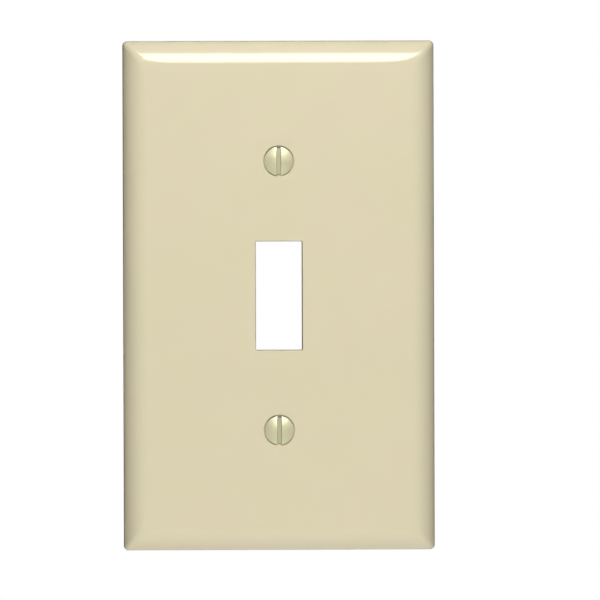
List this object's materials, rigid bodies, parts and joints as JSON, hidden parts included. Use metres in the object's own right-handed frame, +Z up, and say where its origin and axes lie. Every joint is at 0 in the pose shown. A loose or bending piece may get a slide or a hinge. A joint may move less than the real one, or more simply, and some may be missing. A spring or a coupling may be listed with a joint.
{
  "type": "toggle switch wall plate",
  "caption": "Toggle switch wall plate, hollow behind with a bevelled face and a lever opening, and its slotted oval-head screws with retaining washers.",
  "frame": {"origin": "centre of the plate on the wall plane, where the back of the rim rests", "axes": "+Z up the plate's height, +Y into the wall, +X to the right as seen from the front; the face looks along -Y"},
  "size_m": [0.0698, 0.0135, 0.1142],
  "materials": {
    "ivory_thermoset": "glossy moulded ivory thermoset",
    "ivory_enamel_screw": "steel with an ivory enamelled head and a zinc plated thread",
    "red_fibre": "matt vulcanised fibre"
  },
  "bodies": {
    "plate": {"wallplate": "ivory_thermoset"},
    "upper_washer_body": {"upper_retaining_washer": "red_fibre"},
    "upper_screw_body": {"upper_screw": "ivory_enamel_screw"},
    "lower_washer_body": {"lower_retaining_washer": "red_fibre"},
    "lower_screw_body": {"lower_screw": "ivory_enamel_screw"}
  },
  "joints": [
    {"name": "upper_screw_travel", "type": "slide", "parent": "plate", "child": "upper_washer_body", "axis": [0, -1, 0], "range_m": [0, 0.00456]},
    {"name": "upper_screw_turn", "type": "hinge", "parent": "upper_washer_body", "child": "upper_screw_body", "pos_m": [0, 0, 0.03016], "axis": [0, -1, 0], "range_deg": [0, 2070]},
    {"name": "lower_screw_travel", "type": "slide", "parent": "plate", "child": "lower_washer_body", "axis": [0, -1, 0], "range_m": [0, 0.00456]},
    {"name": "lower_screw_turn", "type": "hinge", "parent": "lower_washer_body", "child": "lower_screw_body", "pos_m": [0, 0, -0.03016], "axis": [0, -1, 0], "range_deg": [0, 2070]}
  ],
  "couplings": [
    {"joint": "upper_screw_turn", "follows": "upper_screw_travel", "rad_per_m": 7915.8},
    {"joint": "lower_screw_turn", "follows": "lower_screw_travel", "rad_per_m": 7915.8}
  ]
}
